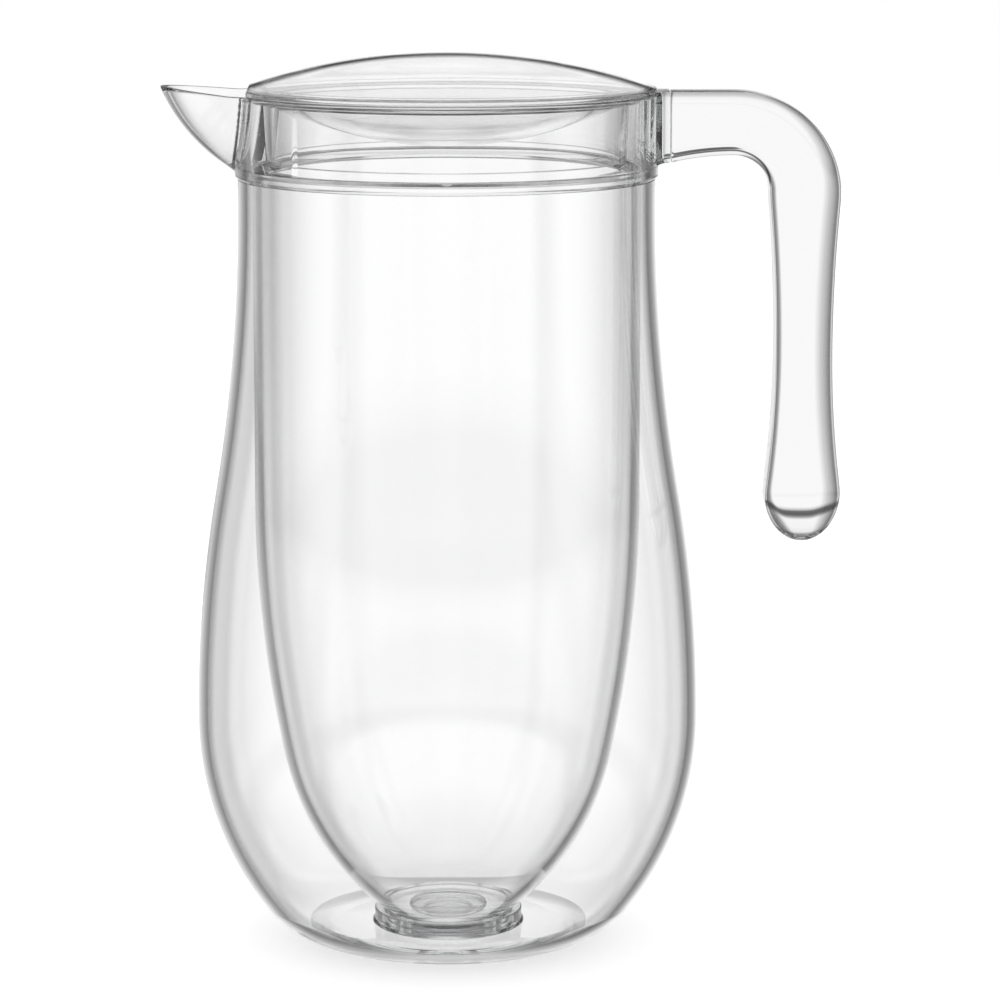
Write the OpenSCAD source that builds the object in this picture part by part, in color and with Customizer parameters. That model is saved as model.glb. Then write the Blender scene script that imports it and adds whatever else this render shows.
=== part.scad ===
// Clear double-walled insulated jug: a blown outer shell, a hung inner liner with an air space
// between them, a moulded pouring collar with a beak spout, a J handle and a two-piece lid.
// Millimetres. Origin on the jug's axis at its resting face, +Z up, spout towards -X, handle towards +X.

/* [Outer shell] */
// Outer radius of the neck
neck_r = 60.6; // [57:0.1:65]
// Height of the shell's top edge, where the collar sits
shell_top_z = 226; // [215:0.5:240]
// Length of the straight neck below that edge
neck_h = 5.5; // [3:0.1:15]
// Height where the side turns from hollow to full
turn_z = 133; // [110:0.5:160]
// Outer radius of the belly
belly_r = 73.7; // [69:0.1:80]
// Height of the belly's widest ring
belly_z = 67; // [58:0.5:80]
// Radius of the flat resting face
base_r = 32.5; // [28:0.1:38]
// Rounding between the resting face and the belly
heel_r = 28.3; // [22:0.1:33]
// Wall of the shell
shell_wall = 2.6; // [1.8:0.1:3.4]
// Thickness of the shell's floor
floor_t = 4.2; // [3.6:0.1:6]

/* [Inner liner] */
// Air space between shell and liner at the neck
neck_gap = 1.6; // [0.8:0.1:3]
// Wall of the liner
liner_wall = 2.6; // [1.6:0.1:3.4]
// Height where the liner's straight side starts to draw in
draw_in_z = 132; // [115:0.5:150]
// Radius of the liner's bowl
bowl_r = 81.2; // [65:0.1:90]
// Steepness of the bowl where it reaches the foot, in degrees
foot_angle = 51.7; // [45:0.1:54]
// Radius of the liner's foot
foot_r = 19.2; // [16:0.1:21]
// Thickness of the liner's floor
liner_floor_t = 6.6; // [5.6:0.1:9]
// Height of the flange that hangs the liner on the shell
flange_h = 3.8; // [3:0.1:6]
// How far that flange laps over the shell's top edge
flange_lap = 1.2; // [0.8:0.1:1.5]
// How far the lip of the mouth stands in from the liner's wall
lip_in = 1; // [0.5:0.1:2]
// Height of the lip's sloping top
lip_h = 1.4; // [0.8:0.1:1.8]
// Height of the lip's straight face
lip_land = 1.4; // [0.6:0.1:2]

/* [Liner seat and base plug] */
// Height of the ring that holds the liner's foot
seat_h = 4.3; // [3.8:0.1:6]
// Wall of that ring
seat_wall = 2.6; // [1.5:0.1:4]
// Flare at the ring's lower edge
seat_flare = 0.6; // [0.3:0.1:1.5]
// Radius of the plug's stem
plug_r = 6.8; // [5:0.1:8]
// Radius of the plug's head
plug_head_r = 11; // [9.5:0.1:13]
// Height of the plug's head
plug_head_h = 3; // [2:0.1:3.2]
// Crown of the plug's head
plug_crown = 1; // [0.5:0.1:1.5]

/* [Pouring collar] */
// Height of the collar above the liner's mouth
collar_h = 20.6; // [17:0.1:26]
// Wall of the collar at its rim
collar_wall = 4.4; // [3.6:0.1:5]
// How far the collar stands out from the neck
collar_step = 0.8; // [0.4:0.1:1.6]
// Height of the slope under that step
collar_slope_h = 2.3; // [1.5:0.1:3.5]
// Draft of the collar's bore over its height
collar_draft = 0.4; // [0.1:0.1:0.8]
// Rounding of the rim's edges
rim_round = 0.7; // [0.3:0.1:1.2]

/* [Spout] */
// How far the spout's tip stands out from the collar
spout_len = 21.6; // [16:0.1:28]
// How far the tip stands above the rim
spout_rise = 2.2; // [0.5:0.1:4]
// Radius of the spout's keel, seen from the side
keel_r = 51.3; // [40:0.1:80]
// Rounding of the keel, seen from above
keel_round = 9.2; // [6:0.1:12]
// Wall of the spout
spout_wall = 1.8; // [1.4:0.1:2.5]
// Sill between the liner's ledge and the channel
channel_sill = 0.8; // [0.5:0.1:2]
// Size of the blend between the spout and the collar
spout_blend = 2.2; // [1.5:0.1:3.5]
// How many times smaller than the blend the tuck of the spout's sides into the collar is
tuck_parts = 6; // [4:1:8]

/* [Handle] */
// Length of the collar's boss that the handle is bonded to
boss_len = 3.1; // [2:0.1:5]
// Height of the arm at its root
root_h = 20.4; // [18:0.1:21]
// Height of the arm past its root
arm_h = 18.2; // [14:0.1:20]
// Depth of the handle from front to back
handle_d = 19.5; // [15:0.1:24]
// How far the arm's top stands above the rim
arm_rise = 0.8; // [0:0.1:2]
// Length of the straight arm
arm_len = 19; // [14:0.1:28]
// Radius of the bend, on the handle's middle line
bend_r = 20.6; // [16:0.1:26]
// Width of the grip below the bend
grip_top_w = 21.2; // [17:0.1:24]
// Width of the grip at its waist
grip_waist_w = 17; // [14:0.1:20]
// Width of the grip above its rounded end
grip_end_w = 22.6; // [18:0.1:26]
// Distance from the bend to the waist
waist_drop = 45.6; // [35:0.1:55]
// Distance from the waist to the widest part of the end
end_drop = 42; // [30:0.1:52]
// Length of the rounded end
end_len = 15; // [10:0.1:18]
// Rounding of the arm's edges
arm_round = 2.8; // [2:0.1:5]
// Rounding of the grip's edges
grip_round = 4.6; // [3:0.1:6]

/* [Lid] */
// Gap between the lid's flange and the edge of the collar
lid_inset = 0.4; // [0.3:0.1:1]
// Thickness of the lid's flange
lid_flange_t = 1.6; // [1.2:0.1:2.5]
// Height of the dome above the flange
dome_h = 10; // [8:0.1:14]
// Wall of the dome
dome_wall = 2.4; // [1.6:0.1:2.7]
// Width of the flat flange outside the dome
lid_flange_w = 0.9; // [0.8:0.1:4]
// How far the lid's flange is cut back at the spout
lid_cut = 4.2; // [2:0.1:4.3]
// Width of the flat land that carries the plug plate
land_w = 3.6; // [2.5:0.1:5]
// Side gap between the lid's plug plate and the collar's bore
lid_gap = 0.4; // [0.3:0.05:0.8]
// Thickness of the plug plate
plate_t = 1.8; // [1.4:0.1:3]
// Width of the plate's rim outside the skirt
plate_rim = 3.6; // [3:0.1:5]
// Depth of the dish below the rim
dish_h = 15.4; // [11:0.1:16.5]
// How far below the plate the dish meets the skirt
dish_drop = 1.5; // [0.5:0.1:3]
// Wall of the dish
dish_wall = 2; // [1.4:0.1:2.6]
// Wall of the skirt
skirt_wall = 1.7; // [1.3:0.1:2.2]
// Pouring gap below the skirt
skirt_gap = 1.5; // [1:0.1:3]
// Draft of the skirt over its height
skirt_draft = 0.6; // [0.2:0.1:1]
// Gap between the dome and the bead that centres the plate in it
bead_gap = 0.45; // [0.3:0.05:0.6]

/* [Fits] */
// Side gap in bonded joints
joint_gap = 0.15; // [0.1:0.01:0.25]
// Gap round the plug's head
plug_gap = 0.4; // [0.3:0.05:0.6]

/* [Hidden] */
$fn = 96;
arc_steps = 10;
corner_steps = 6;
spout_steps = 9;
spout_spacing = 1.5;
clear_plastic = [0.9, 0.93, 0.94, 0.4];
tint_plastic = [0.82, 0.86, 0.88, 0.5];
past = 1;

// Outer shell: four tangent arcs from the neck to the resting face
waist_z = shell_top_z - neck_h;
swell = belly_r - neck_r;
side_drop = waist_z - belly_z;
side_curve_r = (swell * swell + side_drop * side_drop) / (2 * swell);
full_r = side_curve_r * (turn_z - belly_z) / side_drop;
hollow_r = side_curve_r - full_r;
hollow_c = [neck_r + hollow_r, waist_z];
full_c = [belly_r - full_r, belly_z];
turn_angle = atan2(side_drop, hollow_c[0] - full_c[0]);
heel_c = [base_r, heel_r];
heel_out = belly_r - base_r;
heel_up = belly_z - heel_r;
under_r = (heel_out * heel_out + heel_up * heel_up - heel_r * heel_r) / (2 * (heel_out - heel_r));
under_c = [belly_r - under_r, belly_z];
heel_angle = atan2(heel_c[1] - under_c[1], heel_c[0] - under_c[0]);
floor_edge_angle = -acos((heel_r - floor_t) / (heel_r - shell_wall));

// Inner liner: a straight side, a long drawing-in arc and the bowl's arc down to the foot
liner_r = neck_r - shell_wall - neck_gap;
bore_r = liner_r - liner_wall;
flange_r = neck_r - shell_wall + flange_lap;
ledge_z = shell_top_z + flange_h;
mouth_r = bore_r - lip_in;
lip_low_z = ledge_z - lip_h - lip_land;
foot_top_z = floor_t + seat_h;
bowl_c = [foot_r - bowl_r * cos(foot_angle), foot_top_z + bowl_r * sin(foot_angle)];
draw_across = liner_r - bowl_c[0];
draw_down = draw_in_z - bowl_c[1];
draw_r = (draw_across * draw_across + draw_down * draw_down - bowl_r * bowl_r)
    / (2 * (draw_across - bowl_r));
draw_c = [liner_r - draw_r, draw_in_z];
draw_angle = atan2(bowl_c[1] - draw_c[1], bowl_c[0] - draw_c[0]);
liner_floor_z = floor_t + liner_floor_t;
bowl_in_r = bowl_r - liner_wall;
floor_in_angle = -asin((bowl_c[1] - liner_floor_z) / bowl_in_r);
recess_r = plug_head_r + plug_gap;
recess_z = floor_t + plug_head_h + plug_gap;

// Collar and spout
collar_r = neck_r + collar_step;
rim_z = ledge_z + collar_h;
collar_bore_r = collar_r - collar_wall;
slope_z = shell_top_z + collar_slope_h;
tip_x = collar_r + spout_len;
tip_z = rim_z + spout_rise;
keel_chord = [tip_x - collar_r, tip_z - slope_z];
keel_sag = sqrt(keel_r * keel_r - keel_chord * keel_chord / 4);
keel_c = [(tip_x + collar_r) / 2 - keel_sag * keel_chord[1] / norm(keel_chord),
    (tip_z + slope_z) / 2 + keel_sag * keel_chord[0] / norm(keel_chord)];
channel_step = spout_wall * norm(keel_chord) / keel_chord[1];
channel_round = keel_round - spout_wall;
spout_half_w = sqrt(2 * keel_round * (spout_len + collar_wall)) + spout_blend;
sink = collar_wall / 2;
spout_tuck = spout_blend / tuck_parts;

// Handle
root_x = collar_r + boss_len;
arm_top_z = rim_z + arm_rise;
arm_z = arm_top_z - arm_h / 2;
root_z = arm_top_z - root_h / 2;
bend_x = root_x + arm_len;
bend_z = arm_z - bend_r;
grip_x = bend_x + bend_r;
waist_at_z = bend_z - waist_drop;
end_z = waist_at_z - end_drop;

// Lid
lid_r = collar_r - lid_inset;
lid_top_z = rim_z + lid_flange_t;
dome_r = lid_r - lid_flange_w;
dome_curve_r = (dome_r * dome_r + dome_h * dome_h) / (2 * dome_h);
dome_c = [0, lid_top_z + dome_h - dome_curve_r];
dome_in_r = dome_curve_r - dome_wall;
plate_r = collar_bore_r - lid_gap;
plate_z = rim_z - plate_t;
land_r = plate_r - land_w;
bead_r = land_r - joint_gap;
bead_z = dome_c[1] + sqrt(dome_in_r * dome_in_r - land_r * land_r) - bead_gap;
skirt_r = plate_r - plate_rim;
skirt_z = ledge_z + skirt_gap;
dish_edge_r = skirt_r - skirt_wall;
dish_fall = dish_h - plate_t - dish_drop;
dish_curve_r = (dish_edge_r * dish_edge_r + dish_fall * dish_fall) / (2 * dish_fall);
dish_c = [0, rim_z - dish_h + dish_curve_r];
dish_top_angle = -acos((dish_edge_r - dish_wall) / (dish_curve_r - dish_wall));

// Points along an arc in the half plane of a revolve
function arc(c, r, from, to) =
    [for (i = [0 : arc_steps]) let (a = from + (to - from) * i / arc_steps) c + r * [cos(a), sin(a)]];

// A ring of points with the handle's rounded section, square to a path that runs in the XZ plane
function section(x, z, turn, half_w, half_d, corner) =
    [for (side = [0 : 3], i = [0 : corner_steps]) let (
        a = -90 * side - 90 * i / corner_steps,
        u = (half_w - corner) * (side == 0 || side == 3 ? 1 : -1) + corner * cos(a),
        v = (half_d - corner) * (side < 2 ? -1 : 1) + corner * sin(a))
        [x + u * sin(turn), v, z + u * cos(turn)]];

// Distance of the keel from the axis at a height
function keel(z) = keel_c[0] + sqrt(keel_r * keel_r - pow(z - keel_c[1], 2));

// Radius of the collar's outer face at a height
function face_r(z) = neck_r + collar_step * min(1, (z - shell_top_z) / collar_slope_h);

// The larger of two distances, with a rounded blend where they are close
function blend(a, b, size) = max(a, b) + pow(max(size - abs(a - b), 0), 2) / (4 * size);

// Outline of the spout at a height, from one side of the collar to the other and back through its wall
function spout_ring(z) = concat(
    [for (i = [-spout_steps : spout_steps]) let (
        y = -spout_half_w * sign(i) * pow(abs(i) / spout_steps, spout_spacing),
        r = face_r(z) - spout_tuck)
        [-blend(sqrt(r * r - y * y), keel(z) - y * y / (2 * keel_round), spout_blend), y, z]],
    [[-mouth_r, -spout_half_w, z], [-mouth_r, spout_half_w, z]]);

// Outline of the spout's channel at a height, from inside the collar's bore to the channel's bottom and back
function channel_ring(z) = let (
    reach = keel(z) - channel_step,
    half_w = sqrt(2 * channel_round * (reach - mouth_r)))
    [for (i = [-spout_steps : spout_steps]) let (
        y = -half_w * sign(i) * pow(abs(i) / spout_steps, spout_spacing))
        [y * y / (2 * channel_round) - reach, y, z]];

// Skin through a stack of rings, each counter-clockwise seen from the last ring
module skin(rings) {
    count = len(rings[0]);
    last = (len(rings) - 1) * count;
    sides = [for (i = [0 : len(rings) - 2], j = [0 : count - 1]) let (
        a = i * count + j,
        b = i * count + (j + 1) % count)
        each [[a, b + count, b], [a, a + count, b + count]]];
    polyhedron(
        [for (ring = rings) each ring],
        concat([[for (j = [0 : count - 1]) j]], sides, [[for (j = [count - 1 : -1 : 0]) last + j]]));
}

// Blown outer wall with a thick flat floor and a hole for the plug
module outer_shell() {
    hole_r = plug_r + joint_gap;
    color(clear_plastic)
        rotate_extrude()
            polygon(concat(
                [[hole_r, 0]],
                arc(heel_c, heel_r, -90, heel_angle),
                arc(under_c, under_r, heel_angle, 0),
                arc(full_c, full_r, 0, turn_angle),
                arc(hollow_c, hollow_r, 180 + turn_angle, 180),
                [[neck_r, shell_top_z], [neck_r - shell_wall, shell_top_z]],
                arc(hollow_c, hollow_r + shell_wall, 180, 180 + turn_angle),
                arc(full_c, full_r - shell_wall, turn_angle, 0),
                arc(under_c, under_r - shell_wall, 0, heel_angle),
                arc(heel_c, heel_r - shell_wall, heel_angle, -90 - floor_edge_angle),
                [[hole_r, floor_t]]));
}

// Liner hung by its flange, with a lipped mouth and a thick foot hollowed over the plug
module inner_liner() {
    color(clear_plastic)
        rotate_extrude()
            polygon(concat(
                [[recess_r, floor_t], [foot_r, floor_t]],
                arc(bowl_c, bowl_r, -foot_angle, draw_angle),
                arc(draw_c, draw_r, draw_angle, 0),
                [[liner_r, shell_top_z], [flange_r, shell_top_z], [flange_r, ledge_z]],
                [[mouth_r + lip_h, ledge_z], [mouth_r, ledge_z - lip_h], [mouth_r, lip_low_z]],
                [[bore_r, lip_low_z - lip_in]],
                arc(draw_c, draw_r - liner_wall, 0, draw_angle),
                arc(bowl_c, bowl_in_r, draw_angle, floor_in_angle),
                [[0, liner_floor_z], [0, recess_z], [recess_r, recess_z]]));
}

// Ring bonded to the shell's floor round the liner's foot
module liner_seat() {
    bore = foot_r + joint_gap;
    edge = seat_flare / 2;
    color(tint_plastic)
        rotate_extrude()
            polygon([
                [bore, floor_t],
                [bore + seat_wall + seat_flare, floor_t],
                [bore + seat_wall + seat_flare, floor_t + edge],
                [bore + seat_wall, floor_t + seat_flare + edge],
                [bore + seat_wall, foot_top_z - edge],
                [bore + seat_wall - edge, foot_top_z],
                [bore, foot_top_z]]);
}

// Headed plug that closes the hole in the shell's floor, flush with the resting face
module base_plug() {
    crown_r = (plug_head_r * plug_head_r + plug_crown * plug_crown) / (2 * plug_crown);
    head_c = [0, floor_t + plug_head_h - crown_r];
    color(tint_plastic)
        rotate_extrude()
            polygon(concat(
                [[0, 0], [plug_r, 0], [plug_r, floor_t], [plug_head_r, floor_t]],
                arc(head_c, crown_r, acos(plug_head_r / crown_r), 90)));
}

// Half plane of the collar's ring, without spout and boss
module collar_profile() {
    polygon(concat(
        [[flange_r + joint_gap, shell_top_z], [neck_r, shell_top_z], [collar_r, slope_z]],
        arc([collar_r - rim_round, rim_z - rim_round], rim_round, 0, 90),
        arc([collar_bore_r + rim_round, rim_z - rim_round], rim_round, 90, 180),
        [[collar_bore_r - collar_draft, ledge_z], [flange_r + joint_gap, ledge_z]]));
}

// Beak of the spout, cut along a top that rises to the tip
module spout() {
    levels = 14;
    top = tip_z + past;
    intersection() {
        skin([for (i = [0 : levels]) spout_ring(shell_top_z + (top - shell_top_z) * i / levels)]);
        rotate([90, 0, 0])
            linear_extrude(2 * tip_x, center = true)
                polygon([
                    [0, shell_top_z],
                    [0, rim_z],
                    [-collar_r, rim_z],
                    [-tip_x, tip_z],
                    [-tip_x - past, tip_z],
                    [-tip_x - past, shell_top_z]]);
    }
}

// Channel of the spout, through the collar's wall and open above
module channel() {
    levels = 12;
    low = ledge_z + channel_sill;
    top = tip_z + 2 * past;
    skin([for (i = [0 : levels]) channel_ring(low + (top - low) * i / levels)]);
}

// Boss for the handle's root, flared to the sides and below
module boss() {
    steps = 6;
    skin([for (i = [0 : steps]) let (
        t = i / steps,
        flare = boss_len * (1 - sqrt(1 - pow(1 - t, 2))))
        section(collar_r + boss_len * t - sink * (1 - t), root_z - flare / 2, 0,
            (root_h + flare) / 2, handle_d / 2 + flare, arm_round)]);
}

// Pouring collar with spout and boss, moulded in one
module collar() {
    color(clear_plastic)
        difference() {
            union() {
                rotate_extrude()
                    collar_profile();
                difference() {
                    union() {
                        spout();
                        boss();
                    }
                    translate([0, 0, shell_top_z])
                        cylinder(r = collar_r - sink, h = tip_z - shell_top_z + past);
                    translate([0, 0, rim_z - rim_round])
                        cylinder(r = collar_r, h = spout_rise + rim_round + past);
                }
            }
            channel();
        }
}

// Solid J handle: arm, bend, waisted grip and rounded free end, as one skin
module handle() {
    stations = 6;
    bend_stations = 10;
    last_turn = 84;
    arm_rings = [for (i = [0 : stations - 1]) let (t = i / stations, s = pow(1 - t, 2))
        section(root_x + arm_len * t, arm_z + (root_z - arm_z) * s, 0,
            (arm_h + (root_h - arm_h) * s) / 2, handle_d / 2, arm_round)];
    bend_rings = [for (i = [0 : bend_stations]) let (t = i / bend_stations, a = 90 * t)
        section(bend_x + bend_r * sin(a), bend_z + bend_r * cos(a), a,
            (arm_h + (grip_top_w - arm_h) * t) / 2, handle_d / 2, arm_round + (grip_round - arm_round) * t)];
    upper_rings = [for (i = [1 : stations]) let (t = i / stations)
        section(grip_x, bend_z - waist_drop * t, 90,
            (grip_waist_w + (grip_top_w - grip_waist_w) * pow(1 - t, 2)) / 2, handle_d / 2, grip_round)];
    lower_rings = [for (i = [1 : stations]) let (t = i / stations)
        section(grip_x, waist_at_z - end_drop * t, 90,
            (grip_waist_w + (grip_end_w - grip_waist_w) * t * t) / 2, handle_d / 2, grip_round)];
    end_rings = [for (i = [1 : stations]) let (a = last_turn * i / stations)
        section(grip_x, end_z - end_len * sin(a), 90,
            grip_end_w / 2 * cos(a), handle_d / 2 * cos(a),
            (grip_round + (handle_d / 2 - grip_round) * sin(a)) * cos(a))];
    color(clear_plastic)
        skin(concat(arm_rings, bend_rings, upper_rings, lower_rings, end_rings));
}

// Domed top of the lid, with a flange that rests on the collar's rim and is cut straight at the spout
module lid_cover() {
    color(clear_plastic)
        difference() {
            rotate_extrude()
                polygon(concat(
                    [[land_r, rim_z], [lid_r, rim_z]],
                    arc([lid_r - rim_round, lid_top_z - rim_round], rim_round, 0, 90),
                    arc(dome_c, dome_curve_r, acos(dome_r / dome_curve_r), 90),
                    arc(dome_c, dome_in_r, 90, acos(land_r / dome_in_r))));
            translate([lid_cut - 2 * lid_r, -lid_r, rim_z - past])
                cube([lid_r, 2 * lid_r, dome_h + lid_flange_t + 2 * past]);
        }
}

// Underside of the lid: plug plate, hollow dish and skirt
module lid_base() {
    color(clear_plastic)
        rotate_extrude()
            polygon(concat(
                arc(dish_c, dish_curve_r, -90, -acos(dish_edge_r / dish_curve_r)),
                [[dish_edge_r - skirt_draft, skirt_z], [skirt_r - skirt_draft, skirt_z]],
                [[skirt_r, plate_z], [plate_r, plate_z], [plate_r, rim_z], [bead_r, rim_z]],
                [[bead_r, bead_z], [bead_r - skirt_wall, bead_z], [bead_r - skirt_wall, rim_z]],
                arc(dish_c, dish_curve_r - dish_wall, dish_top_angle, -90)));
}

outer_shell();
inner_liner();
liner_seat();
base_plug();
collar();
handle();
lid_cover();
lid_base();
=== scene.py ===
import math

import bmesh
import bpy
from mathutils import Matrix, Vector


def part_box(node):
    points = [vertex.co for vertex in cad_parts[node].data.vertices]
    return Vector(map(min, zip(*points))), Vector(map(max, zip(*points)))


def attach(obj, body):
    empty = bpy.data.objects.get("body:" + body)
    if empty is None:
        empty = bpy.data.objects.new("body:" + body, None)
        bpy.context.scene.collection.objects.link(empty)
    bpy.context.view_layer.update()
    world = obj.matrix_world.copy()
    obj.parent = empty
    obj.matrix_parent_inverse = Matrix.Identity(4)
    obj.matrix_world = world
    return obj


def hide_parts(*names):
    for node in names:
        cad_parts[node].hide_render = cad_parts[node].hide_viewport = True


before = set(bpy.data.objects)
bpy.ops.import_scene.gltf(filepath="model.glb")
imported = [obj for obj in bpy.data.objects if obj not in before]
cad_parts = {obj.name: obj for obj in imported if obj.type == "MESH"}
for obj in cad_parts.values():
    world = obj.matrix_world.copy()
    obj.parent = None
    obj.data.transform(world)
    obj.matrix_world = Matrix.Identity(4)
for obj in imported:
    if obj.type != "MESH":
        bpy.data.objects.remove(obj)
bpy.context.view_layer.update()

# Camera: the photograph's view, from in front and a little above, with the spout on the left and
# the handle on the right. A long lens keeps the jug's round edges flat.
camera_place = (0.01547, -1.2187, 0.3327)
camera_down = 9.4
camera_lens = 151.2
camera_sensor = 36
bpy.ops.object.select_all(action="DESELECT")
bpy.ops.object.camera_add(location=camera_place, rotation=(math.radians(90 - camera_down), 0, 0))
camera = bpy.context.object
camera.data.lens = camera_lens
camera.data.sensor_width = camera_sensor
bpy.context.scene.camera = camera

# Studio walls: a white board behind the jug that falls off to grey at its sides, which draws the edges of
# clear ware, two narrow boards further round, and a bright front with a white table and two thin grey
# strips, which draw the edges from behind. The camera itself sees plain white.
wall_tones = [(-180, 1.0), (-100, 1.0), (-86, 0.85), (-70, 0.5), (-56, 0.3), (-50, 0.7), (-44, 0.7),
              (-39, 0.2), (-33, 0.2), (-28, 0.3), (-22, 0.44), (-19, 0.53), (-15, 0.66), (-11, 0.8),
              (-8, 0.94), (-6, 1.0), (8, 1.0), (11, 0.92), (14, 0.72), (17.5, 0.5), (20, 0.38), (24, 0.26),
              (32, 0.18), (39, 0.15), (44, 0.7), (50, 0.7), (56, 0.26), (70, 0.45), (86, 0.8), (100, 1.0),
              (180, 1.0)]
height_tones = [(-90, 0.02), (-75, 0.03), (-66, 0.35), (-55, 0.6), (-40, 0.62), (-30, 0.78), (-24, 1.0),
                (1.5, 1.0), (3.5, 0.6), (5, 0.1), (8, 0.07), (10, 0.3), (13, 1.0), (36, 1.0), (46, 0.5),
                (60, 0.15), (75, 0.03), (90, 0.02)]
front_tones = [(-180, 1.0), (-127, 1.0), (-122, 0.5), (-119, 0.5), (-112, 1.0), (112, 1.0), (119, 0.5),
               (122, 0.5), (127, 1.0), (180, 1.0)]
soft_light = 0.9
front_table = 0.95
front_fade = (-0.2, -0.5)
down_fade = (-0.1, -0.3)


def add_node(tree, kind, **values):
    """A node in a tree, with plain values for its settings and for its named inputs."""
    node = tree.nodes.new(kind)
    for name, value in values.items():
        if name in node.bl_rna.properties:
            setattr(node, name, value)
        else:
            node.inputs[name.replace("_", " ")].default_value = value
    return node


studio = bpy.data.worlds.new("studio")
bpy.context.scene.world = studio
studio.use_nodes = True
walls = studio.node_tree
walls.nodes.clear()
direction = add_node(walls, "ShaderNodeTexCoord")
parts = add_node(walls, "ShaderNodeSeparateXYZ")
bearing = add_node(walls, "ShaderNodeMath", operation="ARCTAN2")
bearing_share = add_node(walls, "ShaderNodeMapRange", From_Min=-math.pi, From_Max=math.pi)
slope = add_node(walls, "ShaderNodeMath", operation="ARCSINE")
slope_share = add_node(walls, "ShaderNodeMapRange", From_Min=-math.pi / 2, From_Max=math.pi / 2)
round_ramp = add_node(walls, "ShaderNodeValToRGB")
height_ramp = add_node(walls, "ShaderNodeValToRGB")
front_ramp = add_node(walls, "ShaderNodeValToRGB")
for ramp, tones in [(round_ramp, wall_tones), (height_ramp, height_tones), (front_ramp, front_tones)]:
    first, last = tones[0][0], tones[-1][0]
    stops = ramp.color_ramp.elements
    for degrees, tone in tones:
        at = (degrees - first) / (last - first)
        stop = stops[0] if at == 0 else stops[-1] if at == 1 else stops.new(at)
        stop.color = (tone, tone, tone, 1)
boards = add_node(walls, "ShaderNodeMix", data_type="RGBA", blend_type="MULTIPLY")
boards.inputs[0].default_value = 1
front_share = add_node(walls, "ShaderNodeMapRange", From_Min=front_fade[0], From_Max=front_fade[1])
down_share = add_node(walls, "ShaderNodeMapRange", From_Min=down_fade[0], From_Max=down_fade[1])
table_share = add_node(walls, "ShaderNodeMath", operation="MULTIPLY")
table_front = add_node(walls, "ShaderNodeMix", data_type="RGBA")
table_front.inputs[7].default_value = (front_table, front_table, front_table, 1)
front_boards = add_node(walls, "ShaderNodeMix", data_type="RGBA", blend_type="MULTIPLY")
front_boards.inputs[0].default_value = 1
ray = add_node(walls, "ShaderNodeLightPath")
lighting = add_node(walls, "ShaderNodeMix", data_type="RGBA")
lighting.inputs[7].default_value = (soft_light, soft_light, soft_light, 1)
seen = add_node(walls, "ShaderNodeMix", data_type="RGBA")
seen.inputs[7].default_value = (1, 1, 1, 1)
background = add_node(walls, "ShaderNodeBackground", Strength=1.0)
world_out = add_node(walls, "ShaderNodeOutputWorld")
walls.links.new(direction.outputs["Generated"], parts.inputs[0])
walls.links.new(parts.outputs["X"], bearing.inputs[0])
walls.links.new(parts.outputs["Y"], bearing.inputs[1])
walls.links.new(bearing.outputs[0], bearing_share.inputs["Value"])
walls.links.new(bearing_share.outputs[0], round_ramp.inputs["Fac"])
walls.links.new(parts.outputs["Z"], slope.inputs[0])
walls.links.new(slope.outputs[0], slope_share.inputs["Value"])
walls.links.new(slope_share.outputs[0], height_ramp.inputs["Fac"])
walls.links.new(round_ramp.outputs["Color"], boards.inputs[6])
walls.links.new(height_ramp.outputs["Color"], boards.inputs[7])
walls.links.new(ray.outputs["Is Diffuse Ray"], lighting.inputs[0])
walls.links.new(parts.outputs["Y"], front_share.inputs["Value"])
walls.links.new(parts.outputs["Z"], down_share.inputs["Value"])
walls.links.new(front_share.outputs[0], table_share.inputs[0])
walls.links.new(down_share.outputs[0], table_share.inputs[1])
walls.links.new(table_share.outputs[0], table_front.inputs[0])
walls.links.new(boards.outputs[2], table_front.inputs[6])
walls.links.new(bearing_share.outputs[0], front_ramp.inputs["Fac"])
walls.links.new(table_front.outputs[2], front_boards.inputs[6])
walls.links.new(front_ramp.outputs["Color"], front_boards.inputs[7])
walls.links.new(front_boards.outputs[2], lighting.inputs[6])
walls.links.new(ray.outputs["Is Camera Ray"], seen.inputs[0])
walls.links.new(lighting.outputs[2], seen.inputs[6])
walls.links.new(seen.outputs[2], background.inputs["Color"])
walls.links.new(background.outputs[0], world_out.inputs["Surface"])

# Floor: a wide white table top that takes the jug's shadow. Its glow brings the part that the camera sees
# unshaded up to white, and in or through the plastic the studio's boards show in its place.
floor_radius = 2.5
floor_drop = 0.0003
floor_colour = (0.6, 0.6, 0.6, 1)
floor_glow = 0.7
bpy.ops.object.select_all(action="DESELECT")
bpy.ops.mesh.primitive_circle_add(vertices=96, radius=floor_radius, fill_type="NGON")
floor = bpy.context.object
floor.name = "floor"
bpy.ops.object.mode_set(mode="EDIT")
bpy.ops.transform.translate(value=(0, 0, -floor_drop))
bpy.ops.object.mode_set(mode="OBJECT")
table_top = bpy.data.materials.new("table_top")
table_top.use_nodes = True
table = table_top.node_tree
table.nodes.clear()
matt = add_node(table, "ShaderNodeBsdfDiffuse", Color=floor_colour)
table_ray = add_node(table, "ShaderNodeLightPath")
shown_glow = add_node(table, "ShaderNodeMath", operation="MULTIPLY")
shown_glow.inputs[1].default_value = floor_glow
glow = add_node(table, "ShaderNodeEmission")
lit_top = add_node(table, "ShaderNodeAddShader")
clear_ray = add_node(table, "ShaderNodeMath", operation="MAXIMUM")
see_through = add_node(table, "ShaderNodeBsdfTransparent")
top = add_node(table, "ShaderNodeMixShader")
table_out = add_node(table, "ShaderNodeOutputMaterial")
table.links.new(table_ray.outputs["Is Camera Ray"], shown_glow.inputs[0])
table.links.new(shown_glow.outputs[0], glow.inputs["Strength"])
table.links.new(matt.outputs[0], lit_top.inputs[0])
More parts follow.
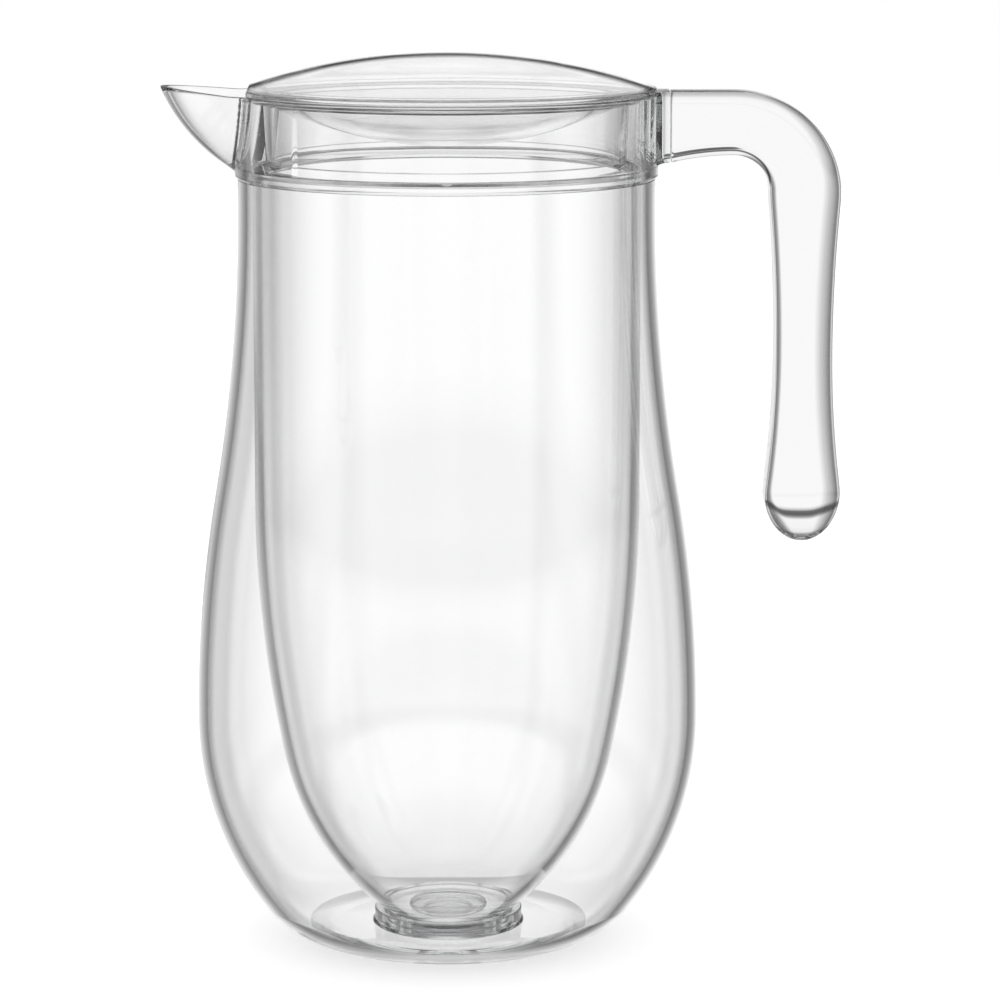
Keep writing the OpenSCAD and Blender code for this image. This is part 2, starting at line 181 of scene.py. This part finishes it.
table.links.new(glow.outputs[0], lit_top.inputs[1])
table.links.new(table_ray.outputs["Is Glossy Ray"], clear_ray.inputs[0])
table.links.new(table_ray.outputs["Is Transmission Ray"], clear_ray.inputs[1])
table.links.new(clear_ray.outputs[0], top.inputs[0])
table.links.new(lit_top.outputs[0], top.inputs[1])
table.links.new(see_through.outputs[0], top.inputs[2])
table.links.new(top.outputs[0], table_out.inputs["Surface"])
floor.data.materials.append(table_top)

# Outer shell: the blown outer wall of clear styrene plastic, with a straight neck, a full belly and a thick
# flat floor. It is turned from the outline of its wall.
shell_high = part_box("outer_shell")[1]
shell_top = shell_high.z
belly_radius = shell_high.y
belly_height = 0.067
neck_radius = 0.0606
neck_height = 0.0055
turn_height = 0.133
base_radius = 0.0325
heel_round = 0.0283
shell_wall = 0.0026
shell_floor = 0.0042
plug_hole = 0.00695
edge_round = 0.0004
fine_round = 0.00012
seam = 0.00006
smooth_angle = math.radians(35)
merge_reach = 1e-6


def arc(centre, radius, start, end, steps=32):
    """Points along an arc of an outline, with angles in degrees from the level outward direction."""
    angles = [math.radians(start + (end - start) * i / steps) for i in range(steps + 1)]
    return [(centre[0] + radius * math.cos(a), centre[1] + radius * math.sin(a)) for a in angles]


def rounded(outline, steps=5):
    """The outline with each corner that has a third number rounded to that radius."""
    points = []
    for i, corner in enumerate(outline):
        if len(corner) == 2:
            points.append(corner)
            continue
        x, y, radius = corner
        before, after = outline[i - 1], outline[(i + 1) % len(outline)]
        back = math.atan2(before[1] - y, before[0] - x)
        ahead = math.atan2(after[1] - y, after[0] - x)
        opening = (ahead - back + math.pi) % (2 * math.pi) - math.pi
        middle = back + opening / 2
        reach = radius / math.sin(abs(opening) / 2)
        centre = (x + reach * math.cos(middle), y + reach * math.sin(middle))
        sweep = math.degrees(math.pi - abs(opening)) * (1 if opening > 0 else -1)
        start = math.degrees(middle + math.pi) + sweep / 2
        points += arc(centre, radius, start, start - sweep, steps)
    return points


def shade(piece):
    """Smooth shading that keeps straight walls optically flat where they meet small rounded edges."""
    bpy.ops.object.select_all(action="DESELECT")
    piece.select_set(True)
    bpy.context.view_layer.objects.active = piece
    bpy.ops.object.shade_smooth_by_angle(angle=smooth_angle)
    bpy.ops.object.modifier_add(type="WEIGHTED_NORMAL")
    weighting = piece.modifiers[-1]
    weighting.weight = 100
    weighting.keep_sharp = True
    bpy.ops.object.modifier_apply(modifier=weighting.name)


def turned(name, outline, steps=256):
    """A round piece: its outline is drawn in the XZ plane point by point, then spun about the jug's axis."""
    bpy.ops.object.select_all(action="DESELECT")
    bpy.ops.mesh.primitive_plane_add(size=0.001)
    piece = bpy.context.object
    piece.name = piece.data.name = name
    bpy.ops.object.mode_set(mode="EDIT")
    bpy.ops.mesh.merge(type="CENTER")
    bpy.ops.transform.translate(value=(outline[0][0], 0, outline[0][1]))
    for (x, z), (next_x, next_z) in zip(outline, outline[1:]):
        bpy.ops.mesh.extrude_vertices_move(TRANSFORM_OT_translate={"value": (next_x - x, 0, next_z - z)})
    bpy.ops.object.mode_set(mode="OBJECT")
    bpy.ops.object.modifier_add(type="SCREW")
    spin = piece.modifiers[0]
    spin.steps = spin.render_steps = steps
    spin.use_merge_vertices = True
    spin.merge_threshold = merge_reach
    bpy.ops.object.modifier_apply(modifier=spin.name)
    bpy.ops.object.mode_set(mode="EDIT")
    bpy.ops.mesh.select_all(action="SELECT")
    bpy.ops.mesh.remove_doubles(threshold=merge_reach)
    bpy.ops.mesh.normals_make_consistent(inside=False)
    bpy.ops.object.mode_set(mode="OBJECT")
    return piece


def moulding_marks():
    """Node group for moulded clear plastic: soft flow waves in the wall, and a faint uneven haze."""
    group = bpy.data.node_groups.new("moulding_marks", "ShaderNodeTree")
    for name, low in [("Flow Size", 20.0), ("Flow Stretch", 0.3), ("Haze", 0.01)]:
        group.interface.new_socket(name, in_out="INPUT", socket_type="NodeSocketFloat").default_value = low
    group.interface.new_socket("Roughness", in_out="OUTPUT", socket_type="NodeSocketFloat")
    group.interface.new_socket("Height", in_out="OUTPUT", socket_type="NodeSocketFloat")
    inward = add_node(group, "NodeGroupInput")
    outward = add_node(group, "NodeGroupOutput")
    place = add_node(group, "ShaderNodeTexCoord")
    stretch = add_node(group, "ShaderNodeCombineXYZ", X=1.0, Y=1.0)
    drawn = add_node(group, "ShaderNodeVectorMath", operation="MULTIPLY")
    waves = add_node(group, "ShaderNodeTexNoise", Detail=2.0, Roughness=0.35)
    haze = add_node(group, "ShaderNodeTexNoise", Scale=160.0, Detail=3.0)
    haze_level = add_node(group, "ShaderNodeMath", operation="MULTIPLY")
    group.links.new(inward.outputs["Flow Stretch"], stretch.inputs["Z"])
    group.links.new(place.outputs["Object"], drawn.inputs[0])
    group.links.new(stretch.outputs[0], drawn.inputs[1])
    group.links.new(drawn.outputs[0], waves.inputs["Vector"])
    group.links.new(inward.outputs["Flow Size"], waves.inputs["Scale"])
    group.links.new(place.outputs["Object"], haze.inputs["Vector"])
    group.links.new(haze.outputs["Fac"], haze_level.inputs[0])
    group.links.new(inward.outputs["Haze"], haze_level.inputs[1])
    group.links.new(waves.outputs["Fac"], outward.inputs["Height"])
    group.links.new(haze_level.outputs[0], outward.inputs["Roughness"])
    return group


marks_group = moulding_marks()


def clear_plastic(name, tint, absorption, flow_size, flow_stretch, flow_depth, haze):
    """A clear moulded plastic, with its own tint, absorption per metre and moulding marks."""
    material = bpy.data.materials.new(name)
    material.use_nodes = True
    tree = material.node_tree
    tree.nodes.clear()
    plastic = add_node(tree, "ShaderNodeBsdfPrincipled", Base_Color=(1, 1, 1, 1), IOR=1.53)
    plastic.inputs["Transmission Weight"].default_value = 1.0
    depth = add_node(tree, "ShaderNodeVolumeAbsorption", Color=tint, Density=absorption)
    marks = add_node(tree, "ShaderNodeGroup")
    marks.node_tree = marks_group
    marks.inputs["Flow Size"].default_value = flow_size
    marks.inputs["Flow Stretch"].default_value = flow_stretch
    marks.inputs["Haze"].default_value = haze
    bump = add_node(tree, "ShaderNodeBump", Strength=1.0, Distance=flow_depth)
    out = add_node(tree, "ShaderNodeOutputMaterial")
    tree.links.new(marks.outputs["Roughness"], plastic.inputs["Roughness"])
    tree.links.new(marks.outputs["Height"], bump.inputs["Height"])
    tree.links.new(bump.outputs["Normal"], plastic.inputs["Normal"])
    tree.links.new(plastic.outputs[0], out.inputs["Surface"])
    tree.links.new(depth.outputs[0], out.inputs["Volume"])
    return material


waist_height = shell_top - neck_height
side_out = belly_radius - neck_radius
side_drop = waist_height - belly_height
side_curve = (side_out ** 2 + side_drop ** 2) / (2 * side_out)
full_curve = side_curve * (turn_height - belly_height) / side_drop
hollow_curve = side_curve - full_curve
hollow_centre = (neck_radius + hollow_curve, waist_height)
full_centre = (belly_radius - full_curve, belly_height)
turn_angle = math.degrees(math.atan2(side_drop, hollow_centre[0] - full_centre[0]))
heel_centre = (base_radius, heel_round)
heel_out = belly_radius - base_radius
heel_up = belly_height - heel_round
under_curve = (heel_out ** 2 + heel_up ** 2 - heel_round ** 2) / (2 * (heel_out - heel_round))
under_centre = (belly_radius - under_curve, belly_height)
heel_angle = math.degrees(math.atan2(heel_centre[1] - under_centre[1], heel_centre[0] - under_centre[0]))
floor_edge_angle = math.degrees(math.acos((heel_round - shell_floor) / (heel_round - shell_wall))) - 90
shell_outline = rounded(
    [(plug_hole, 0, edge_round)]
    + arc(heel_centre, heel_round, -90, heel_angle)
    + arc(under_centre, under_curve, heel_angle, 0)[1:]
    + arc(full_centre, full_curve, 0, turn_angle)[1:]
    + arc(hollow_centre, hollow_curve, 180 + turn_angle, 180)[1:]
    + [(neck_radius, shell_top - seam, fine_round), (neck_radius - shell_wall, shell_top - seam, fine_round)]
    + arc(hollow_centre, hollow_curve + shell_wall, 180, 180 + turn_angle)
    + arc(full_centre, full_curve - shell_wall, turn_angle, 0)[1:]
    + arc(under_centre, under_curve - shell_wall, 0, heel_angle)[1:]
    + arc(heel_centre, heel_round - shell_wall, heel_angle, floor_edge_angle)[1:]
    + [(plug_hole, shell_floor, edge_round)])
outer_shell = turned("jug_outer_shell", shell_outline + shell_outline[:1])
shade(outer_shell)
outer_shell.data.materials.append(clear_plastic(
    "clear_shell", tint=(0.93, 0.97, 1.0, 1), absorption=4.0, flow_size=30.0, flow_stretch=0.25,
    flow_depth=0.00006, haze=0.012))
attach(outer_shell, "jug")
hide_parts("outer_shell")

# Inner liner: the moulded clear liner that holds the drink. It hangs by its flange on the shell's top edge,
# with a sloping lip at the mouth, and its thick foot stands in the seat on the shell's floor.
flange_height = 0.0034
ledge = shell_top + flange_height
flange_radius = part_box("inner_liner")[1].y
liner_radius = 0.0564
liner_wall = 0.0026
draw_in_height = 0.132
bowl_curve = 0.0812
foot_angle = 51.7
foot_radius = 0.0192
liner_floor = 0.0108
foot_top = 0.0085
recess_radius = 0.0114
recess_top = 0.0076
lip_in = 0.004
lip_height = 0.0018
bore_radius = liner_radius - liner_wall
bowl_centre = (foot_radius - bowl_curve * math.cos(math.radians(foot_angle)),
               foot_top + bowl_curve * math.sin(math.radians(foot_angle)))
draw_across = liner_radius - bowl_centre[0]
draw_down = draw_in_height - bowl_centre[1]
draw_curve = (draw_across ** 2 + draw_down ** 2 - bowl_curve ** 2) / (2 * (draw_across - bowl_curve))
draw_centre = (liner_radius - draw_curve, draw_in_height)
draw_angle = math.degrees(math.atan2(bowl_centre[1] - draw_centre[1], bowl_centre[0] - draw_centre[0]))
bowl_inside = bowl_curve - liner_wall
floor_angle = -math.degrees(math.asin((bowl_centre[1] - liner_floor) / bowl_inside))
liner_outline = rounded(
    [(0, recess_top), (recess_radius, recess_top, edge_round),
     (recess_radius, shell_floor + seam, edge_round), (foot_radius, shell_floor + seam, edge_round)]
    + arc(bowl_centre, bowl_curve, -foot_angle, draw_angle, 40)
    + arc(draw_centre, draw_curve, draw_angle, 0)[1:]
    + [(liner_radius, shell_top + seam, fine_round), (flange_radius, shell_top + seam, fine_round),
       (flange_radius, ledge - seam, fine_round),
       (bore_radius - lip_in + lip_height, ledge - seam, fine_round),
       (bore_radius - lip_in, ledge - lip_height, fine_round), (bore_radius, ledge - lip_height, fine_round)]
    + arc(draw_centre, draw_curve - liner_wall, 0, draw_angle)
    + arc(bowl_centre, bowl_inside, draw_angle, floor_angle, 40)[1:]
    + [(0, liner_floor)])
inner_liner = turned("jug_inner_liner", liner_outline)
shade(inner_liner)
inner_liner.data.materials.append(clear_plastic(
    "clear_liner", tint=(0.93, 0.97, 1.0, 1), absorption=4.0, flow_size=24.0, flow_stretch=0.25,
    flow_depth=0.00006, haze=0.012))
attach(inner_liner, "jug")
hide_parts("inner_liner")

# Liner seat: a moulded ring, bonded to the shell's floor, that keeps the liner's foot in the middle. It
# flares a little at its own foot.
bond_gap = 0.00015
seat_bore = foot_radius + bond_gap
seat_wall = 0.0026
seat_flare = 0.0006
seat_outer = seat_bore + seat_wall
seat_outline = rounded([
    (seat_bore, shell_floor + seam),
    (seat_outer + seat_flare, shell_floor + seam),
    (seat_outer + seat_flare, shell_floor + seat_flare / 2),
    (seat_outer, shell_floor + seat_flare * 3 / 2),
    (seat_outer, foot_top, edge_round),
    (seat_bore, foot_top, edge_round)])
liner_seat = turned("jug_liner_seat", seat_outline + seat_outline[:1])
shade(liner_seat)
base_plastic = clear_plastic(
    "base_fitting", tint=(0.5, 0.51, 0.52, 1), absorption=60.0, flow_size=60.0, flow_stretch=1.0,
    flow_depth=0.00003, haze=0.03)
liner_seat.data.materials.append(base_plastic)
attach(liner_seat, "jug")
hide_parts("liner_seat")

# Base plug: the headed plug that closes the hole in the shell's floor, pressed in flush with the resting
# face. Its low crowned head lies in the hollow under the liner.
plug_radius = 0.0068
plug_head_radius = 0.011
plug_head = 0.003
plug_crown = 0.001
plug_curve = (plug_head_radius ** 2 + plug_crown ** 2) / (2 * plug_crown)
plug_centre = (0, shell_floor + plug_head - plug_curve)
plug_edge_angle = math.degrees(math.acos(plug_head_radius / plug_curve))
plug_outline = rounded(
    [(0, 0), (plug_radius, 0, edge_round), (plug_radius, shell_floor + seam),
     (plug_head_radius, shell_floor + seam, edge_round)]
    + arc(plug_centre, plug_curve, plug_edge_angle, 90, 12))
base_plug = turned("jug_base_plug", plug_outline, steps=128)
shade(base_plug)
base_plug.data.materials.append(base_plastic)
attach(base_plug, "jug")
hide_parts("base_plug")

# Collar: the moulded pouring ring, bonded over the shell's edge and the liner's flange. Its ring is turned,
# then its wall is drawn out into the beak spout, and the flared boss for the handle is joined to it.
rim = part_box("lid_cover")[0].z
collar_radius = 0.0614
collar_bore = 0.057
bore_draft = 0.0004
slope_height = 0.00095
keel_lift = 0.001
slope_top = shell_top + slope_height
keel_low = slope_top + keel_lift
rim_round = 0.0007
rebate = flange_radius + bond_gap
rebate_margin = 0.0002
spout_tip = -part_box("collar")[0].x
spout_rise = 0.0022
spout_blend = 0.0022
spout_tuck = 0.0004
keel_curve = 0.0513
keel_round = 0.0092
spout_wall = 0.0018
spout_limit = 0.04
channel_sill = 0.0008
sill_edge = 0.0001
channel_low = ledge + channel_sill
channel_blend = 0.0012
tip_height = rim + spout_rise
chord = (spout_tip - collar_radius, tip_height - keel_low)
chord_length = math.hypot(*chord)
keel_sag = math.sqrt(keel_curve ** 2 - chord_length ** 2 / 4)
keel_centre = ((spout_tip + collar_radius) / 2 - keel_sag * chord[1] / chord_length,
               (tip_height + keel_low) / 2 + keel_sag * chord[0] / chord_length)
channel_step = spout_wall * chord_length / chord[1]
channel_round = keel_round - spout_wall


def rows(start, end, count):
    """Points along a straight line of an outline, without its two ends."""
    return [tuple(a + (b - a) * i / count for a, b in zip(start, end)) for i in range(1, count)]


def blend(a, b, size):
    """The larger of two distances, with a rounded blend where they are close."""
    return max(a, b) + max(size - abs(a - b), 0) ** 2 / (4 * size)


def keel(z):
    """Distance of the spout's keel from the axis at a height."""
    return keel_centre[0] + math.sqrt(keel_curve ** 2 - (z - keel_centre[1]) ** 2)


def spout_reach(y, z, outer):
    """Distance of the spout's outside or of its channel from the YZ plane, or 0 where there is none."""
    if outer:
        face = neck_radius + (collar_radius - neck_radius) * min(1, (z - shell_top) / (slope_top - shell_top))
        side = math.sqrt((face - spout_tuck) ** 2 - y * y)
        return max(blend(side, keel(z) - y * y / (2 * keel_round), spout_blend), math.sqrt(face ** 2 - y * y))
    side = math.sqrt(collar_bore ** 2 - y * y)
    if z < channel_low:
        return side
    return blend(side, keel(z) - channel_step - y * y / (2 * channel_round), channel_blend)


outer_foot = (collar_radius, slope_top)
outer_rim = (collar_radius, rim - rim_round)
bore_rim = (collar_bore, rim - rim_round)
sill_high = (collar_bore - bore_draft, channel_low + sill_edge)
sill_low = (collar_bore - bore_draft, channel_low - sill_edge)
collar_outline = rounded(
    [(rebate, shell_top + seam), (neck_radius, shell_top + seam)]
    + rows((neck_radius, shell_top + seam), outer_foot, 6) + [outer_foot] + rows(outer_foot, outer_rim, 48)
    + arc((collar_radius - rim_round, rim - rim_round), rim_round, 0, 90, 8)
    + arc((collar_bore + rim_round, rim - rim_round), rim_round, 90, 180, 8)
    + rows(bore_rim, sill_high, 40) + [sill_high, sill_low]
    + [(collar_bore - bore_draft, ledge + seam, fine_round), (rebate, ledge + seam)])
collar = turned("jug_collar", collar_outline + collar_outline[:1], steps=480)
for vertex in collar.data.vertices:
    x, y, z = vertex.co
    distance = math.hypot(x, y)
    if x > 0 or abs(y) > spout_limit or (z < ledge and distance < rebate + rebate_margin):
        continue
    share = min(1, max(0, (distance - collar_bore) / (collar_radius - collar_bore))) if z > slope_top else 1
    lift = z
    for _ in range(4):
        inner_x = spout_reach(y, lift, False) if share < 1 else 0
        outer_x = spout_reach(y, lift, True) if share > 0 else 0
        out_x = inner_x + (outer_x - inner_x) * share
        rise = spout_rise * min(1, max(0, (out_x - collar_radius) / (spout_tip - collar_radius)))
        lift = z + rise * (z - shell_top) / (rim - shell_top)
    if out_x > abs(x):
        vertex.co = (-out_x, y, lift)


def lofted(name, rings, smooth_levels):
    """A piece skinned through rings of points: each ring is a circle, shaped and bridged to the last."""
    count = len(rings[0])
    bpy.ops.object.select_all(action="DESELECT")
    bpy.ops.mesh.primitive_circle_add(vertices=count, radius=0.001)
    piece = bpy.context.object
    piece.name = piece.data.name = name
    bpy.ops.object.mode_set(mode="EDIT")
    for number, ring in enumerate(rings):
        if number:
            bpy.ops.mesh.primitive_circle_add(vertices=count, radius=0.001)
        mesh = bmesh.from_edit_mesh(piece.data)
        mesh.verts.ensure_lookup_table()
        for vertex, place in zip(mesh.verts[-count:], ring):
            vertex.co = place
        if number:
            newest = set(mesh.verts[-2 * count:])
            bpy.ops.mesh.select_all(action="DESELECT")
            for edge in mesh.edges:
                first, second = edge.verts
                same_ring = abs(first.index - second.index) in (1, count - 1)
                edge.select_set(first in newest and second in newest and same_ring)
            bmesh.update_edit_mesh(piece.data)
            bpy.ops.mesh.bridge_edge_loops()
    for ring_start in (0, (len(rings) - 1) * count):
        mesh = bmesh.from_edit_mesh(piece.data)
        mesh.verts.ensure_lookup_table()
        mesh.faces.new(mesh.verts[ring_start:ring_start + count])
        bmesh.update_edit_mesh(piece.data)
    bpy.ops.mesh.select_all(action="SELECT")
    bpy.ops.mesh.normals_make_consistent(inside=False)
    bpy.ops.object.mode_set(mode="OBJECT")
    if smooth_levels:
        bpy.ops.object.modifier_add(type="SUBSURF")
        piece.modifiers[0].levels = piece.modifiers[0].render_levels = smooth_levels
        bpy.ops.object.modifier_apply(modifier=piece.modifiers[0].name)
    bpy.ops.object.shade_smooth_by_angle(angle=smooth_angle)
    return piece


def handle_section(x, z, turn_degrees, half_width, half_depth, outer_round, under_round, steps=6):
    """A rounded rectangle square to the handle's middle line, which runs in the XZ plane."""
    across = math.sin(math.radians(turn_degrees))
    up = math.cos(math.radians(turn_degrees))
    ring = []
    for side, (width_sign, depth_sign) in enumerate([(1, -1), (-1, -1), (-1, 1), (1, 1)]):
        corner = outer_round if width_sign > 0 else under_round
        for i in range(steps + 1):
            angle = math.radians(-90 * side - 90 * i / steps)
            u = (half_width - corner) * width_sign + corner * math.cos(angle)
            v = (half_depth - corner) * depth_sign + corner * math.sin(angle)
            ring.append((x + u * across, v, z + u * up))
    return ring


boss_length = 0.0031
root_x = collar_radius + boss_length
arm_rise = 0.0008
arm_top = rim + arm_rise
root_height = 0.0204
handle_depth = 0.0195
arm_round = 0.0036
arm_under_round = 0.0024
boss_sink = 0.0022
boss_rings = []
for i in range(13):
    t = i / 12
    flare = boss_length * (1 - math.sqrt(1 - (1 - t) ** 2))
    boss_rings.append(handle_section(
        collar_radius + (boss_length - seam) * t - boss_sink * (1 - t),
        arm_top - root_height / 2 - flare / 2, 0,
        (root_height + flare) / 2, handle_depth / 2 + flare, arm_round, arm_under_round, 8))
boss = lofted("handle_boss", boss_rings, 0)
bpy.ops.object.select_all(action="DESELECT")
collar.select_set(True)
bpy.context.view_layer.objects.active = collar
bpy.ops.object.modifier_add(type="BOOLEAN")
join = collar.modifiers[0]
join.operation = "UNION"
join.solver = "EXACT"
join.object = boss
bpy.ops.object.modifier_apply(modifier=join.name)
bpy.data.objects.remove(boss)
shade(collar)
collar.data.materials.clear()
collar.data.materials.append(clear_plastic(
    "clear_collar", tint=(0.5, 0.51, 0.515, 1), absorption=12.0, flow_size=40.0, flow_stretch=0.6,
    flow_depth=0.00004, haze=0.012))
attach(collar, "jug")
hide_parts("collar")

# Handle: a solid clear moulding, bonded to the collar's boss. A flat arm turns down into a waisted grip with
# a rounded free end, skinned through rounded sections along its middle line.
arm_height = 0.0182
arm_length = 0.019
bend_radius = 0.0206
grip_top_width = 0.0212
grip_waist_width = 0.017
grip_end_width = 0.0226
waist_drop = 0.0456
end_drop = 0.042
end_length = 0.015
grip_round = 0.0076
grip_under_round = 0.0022
root_bevel = 0.0003
end_sweep = 86
half_depth = handle_depth / 2
arm_z = arm_top - arm_height / 2
root_z = arm_top - root_height / 2
bend_x = root_x + arm_length
bend_z = arm_z - bend_radius
grip_x = bend_x + bend_radius
waist_z = bend_z - waist_drop
end_z = waist_z - end_drop
handle_rings = [
    handle_section(root_x + seam, root_z, 0, root_height / 2 - root_bevel, half_depth - root_bevel,
                   arm_round, arm_under_round),
    handle_section(root_x + seam + root_bevel, root_z, 0, root_height / 2, half_depth,
                   arm_round, arm_under_round)]
for i in range(1, 8):
    t = i / 8
    eased = (1 - t) ** 2
    handle_rings.append(handle_section(
        root_x + arm_length * t, arm_z + (root_z - arm_z) * eased, 0,
        (arm_height + (root_height - arm_height) * eased) / 2, half_depth, arm_round, arm_under_round))
for i in range(13):
    t = i / 12
    angle = math.radians(90 * t)
    handle_rings.append(handle_section(
        bend_x + bend_radius * math.sin(angle), bend_z + bend_radius * math.cos(angle), 90 * t,
        (arm_height + (grip_top_width - arm_height) * t) / 2, half_depth,
        arm_round + (grip_round - arm_round) * t, arm_under_round + (grip_under_round - arm_under_round) * t))
for i in range(1, 9):
    t = i / 8
    width = grip_waist_width + (grip_top_width - grip_waist_width) * (1 - t) ** 2
    handle_rings.append(handle_section(
        grip_x, bend_z - waist_drop * t, 90, width / 2, half_depth, grip_round, grip_under_round))
for i in range(1, 9):
    t = i / 8
    width = grip_waist_width + (grip_end_width - grip_waist_width) * t ** 2
    handle_rings.append(handle_section(
        grip_x, waist_z - end_drop * t, 90, width / 2, half_depth, grip_round, grip_under_round))
for i in range(1, 11):
    angle = math.radians(end_sweep * i / 10)
    fuller = math.sin(angle)
    narrower = math.cos(angle)
    handle_rings.append(handle_section(
        grip_x, end_z - end_length * fuller, 90, grip_end_width / 2 * narrower, half_depth * narrower,
        (grip_round + (half_depth - grip_round) * fuller) * narrower,
        (grip_under_round + (half_depth - grip_under_round) * fuller) * narrower))
handle = lofted("jug_handle", handle_rings, 2)
handle.data.materials.append(clear_plastic(
    "clear_handle", tint=(0.5, 0.51, 0.515, 1), absorption=6.0, flow_size=45.0, flow_stretch=0.7,
    flow_depth=0.00003, haze=0.01))
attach(handle, "jug")
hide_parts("handle")

# Lid cover: the domed clear top of the lid. Its flange rests on the collar's rim, and is cut straight where
# it passes the spout.
lid_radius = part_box("lid_cover")[1].y
lid_edge = 0.0016
dome_inset = 0.0009
lid_top = rim + lid_edge
dome_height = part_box("lid_cover")[1].z - lid_top
dome_wall = 0.0011
dome_radius = lid_radius - dome_inset
lid_cut = -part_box("lid_cover")[0].x
dome_curve = (dome_radius ** 2 + dome_height ** 2) / (2 * dome_height)
dome_centre = (0, lid_top + dome_height - dome_curve)
dome_inside = dome_curve - dome_wall
plate_radius = 0.0566
land_radius = 0.058
cover_outline = rounded(
    [(land_radius, rim + seam), (lid_radius, rim + seam, edge_round)]
    + arc((lid_radius - edge_round, lid_top - edge_round), edge_round, 0, 90, 8)
    + arc(dome_centre, dome_curve, math.degrees(math.acos(dome_radius / dome_curve)), 90, 48)
    + arc(dome_centre, dome_inside, 90, math.degrees(math.acos(land_radius / dome_inside)), 48))
lid_cover = turned("lid_cover_dome", cover_outline + cover_outline[:1])
bpy.ops.object.mode_set(mode="EDIT")
bpy.ops.mesh.select_all(action="SELECT")
bpy.ops.mesh.bisect(plane_co=(-lid_cut, 0, rim), plane_no=(-1, 0, 0), use_fill=True, clear_outer=True)
bpy.ops.object.mode_set(mode="OBJECT")
shade(lid_cover)
lid_plastic = clear_plastic(
    "clear_lid", tint=(0.5, 0.51, 0.515, 1), absorption=6.0, flow_size=35.0, flow_stretch=1.0,
    flow_depth=0.00004, haze=0.012)
lid_cover.data.materials.append(lid_plastic)
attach(lid_cover, "lid")
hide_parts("lid_cover")

# Lid base: the underside of the lid, moulded in one: a plate that plugs the collar's bore, a hollow dish,
# and the long skirt that keeps ice back. A bead on the plate centres it in the dome.
plate_thickness = 0.0018
bead_inset = 0.0003
bead_gap = 0.0002
bead_wall = 0.0012
skirt_inset = 0.0036
skirt_gap = 0.0019
dish_step = 0.0009
plate_low = rim - plate_thickness
bead_radius = plate_radius - bead_inset
bead_top = dome_centre[1] + math.sqrt(dome_inside ** 2 - bead_radius ** 2) - bead_gap
skirt_radius = plate_radius - skirt_inset
skirt_wall = 0.0017
skirt_low = ledge + skirt_gap
skirt_draft = 0.0006
dish_depth = 0.0154
dish_wall = 0.002
dish_edge = skirt_radius - skirt_wall
dish_fall = dish_depth - plate_thickness - dish_step
dish_curve = (dish_edge ** 2 + dish_fall ** 2) / (2 * dish_fall)
dish_centre = (0, rim - dish_depth + dish_curve)
dish_edge_angle = -math.degrees(math.acos(dish_edge / dish_curve))
dish_floor = 0.0055
hollow_edge = dish_edge - dish_wall
hollow_low = rim - dish_depth + dish_floor
dish_inside = dish_curve - dish_wall
hollow_angle = -math.degrees(math.acos(hollow_edge / dish_inside))
hollow_floor_angle = -math.degrees(math.asin((dish_centre[1] - hollow_low) / dish_inside))
lid_outline = rounded(
    arc(dish_centre, dish_curve, -90, dish_edge_angle, 48)
    + [(dish_edge - skirt_draft, skirt_low, edge_round), (skirt_radius - skirt_draft, skirt_low, edge_round),
       (skirt_radius, plate_low, edge_round), (plate_radius, plate_low, edge_round),
       (plate_radius, rim - seam, fine_round), (bead_radius, rim - seam),
       (bead_radius, bead_top, fine_round), (bead_radius - bead_wall, bead_top, fine_round),
       (bead_radius - bead_wall, rim - seam, fine_round), (hollow_edge, rim - seam, edge_round)]
    + arc(dish_centre, dish_inside, hollow_angle, hollow_floor_angle, 40) + [(0, hollow_low)])
lid_base = turned("lid_base_dish", lid_outline)
shade(lid_base)
lid_base.data.materials.append(lid_plastic)
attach(lid_base, "lid")
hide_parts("lid_base")

# Picture settings: plain colours, and enough light bounces for rays that cross the jug's many walls.
bpy.context.scene.view_settings.view_transform = "Standard"
bpy.context.scene.cycles.max_bounces = 40
bpy.context.scene.cycles.transmission_bounces = 40
bpy.context.scene.cycles.glossy_bounces = 16

bpy.context.view_layer.update()
